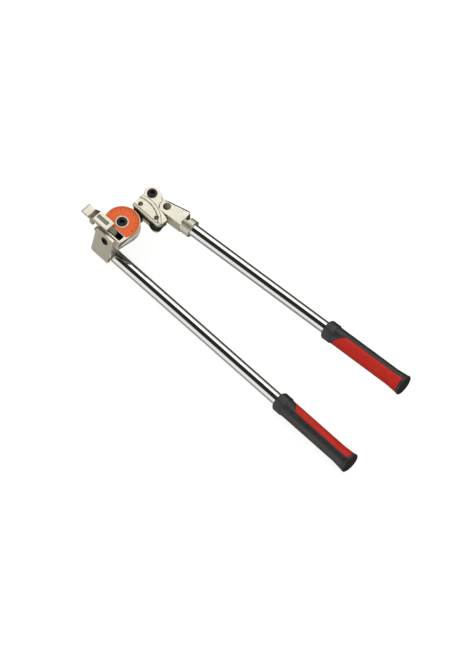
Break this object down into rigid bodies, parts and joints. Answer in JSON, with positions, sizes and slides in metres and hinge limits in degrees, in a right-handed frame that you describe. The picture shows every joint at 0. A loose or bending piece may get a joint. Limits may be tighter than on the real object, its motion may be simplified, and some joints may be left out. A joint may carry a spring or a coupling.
{
  "type": "lever tube bender",
  "caption": "Hand lever tube bender: grooved former with dial on a fixed handle, roller arm on a swing handle, and a hook latch that holds the tube.",
  "frame": {"origin": "bend centre: on the axis that the arm swings about, in the middle plane of the tube groove", "axes": "+X along the fixed handle towards its grip, +Y from the former towards the rollers at rest, +Z out of the dial along the pivot bolt"},
  "size_m": [0.495, 0.1464, 0.0658],
  "materials": {
    "nickel_casting": "satin nickel plate on a steel casting",
    "chrome_tube": "bright chrome plate",
    "black_oxide": "black oxide",
    "zinc_steel": "zinc plate",
    "pin_steel": "dark turned steel",
    "orange_dial": "printed satin enamel",
    "bronze_bush": "turned bronze",
    "black_rubber": "moulded, fine grain",
    "red_grip": "moulded, satin",
    "grey_plate": "satin"
  },
  "bodies": {
    "base": {"former": "nickel_casting", "dial_plate": "orange_dial", "pivot_bolt": "black_oxide", "pivot_washer": "zinc_steel", "pivot_nut": "zinc_steel", "handle_bracket": "nickel_casting", "bracket_screw": "black_oxide", "fixed_handle_tube": "chrome_tube", "fixed_set_screw": "black_oxide", "fixed_grip_sleeve": "black_rubber", "fixed_grip_panel": "red_grip", "fixed_grip_cap": "black_rubber", "latch_pin": "zinc_steel"},
    "arm": {"arm_link": "nickel_casting", "pivot_bush": "bronze_bush", "arm_body": "nickel_casting", "tie_screw": "black_oxide", "roller_cover": "nickel_casting", "roller_pins": "pin_steel"},
    "first_roller": {"first_roller": "black_oxide"},
    "second_roller": {"second_roller": "black_oxide"},
    "swing_handle": {"clevis": "nickel_casting", "clevis_pin": "pin_steel", "swing_handle_tube": "chrome_tube", "swing_set_screw": "black_oxide", "swing_grip_sleeve": "black_rubber", "swing_grip_panel": "red_grip", "swing_grip_cap": "black_rubber"},
    "latch": {"latch_hook": "nickel_casting", "latch_name_plate": "grey_plate"}
  },
  "joints": [
    {"name": "arm_swing", "type": "hinge", "parent": "base", "child": "arm", "pos_m": [0, 0, 0], "axis": [0, 0, 1], "range_deg": [-90, 90]},
    {"name": "first_roller_spin", "type": "hinge", "parent": "arm", "child": "first_roller", "pos_m": [0, 0.0341, 0], "axis": [0, 0, 1], "continuous": true},
    {"name": "second_roller_spin", "type": "hinge", "parent": "arm", "child": "second_roller", "pos_m": [0.0295, 0.0341, 0], "axis": [0, 0, 1], "continuous": true},
    {"name": "handle_fold", "type": "hinge", "parent": "arm", "child": "swing_handle", "pos_m": [0.026, 0.057, 0], "axis": [0, 0, 1], "range_deg": [0, 90]},
    {"name": "latch_lift", "type": "hinge", "parent": "base", "child": "latch", "pos_m": [0.003, -0.018, 0.0032], "axis": [0, 1, 0], "range_deg": [0, 90]}
  ]
}
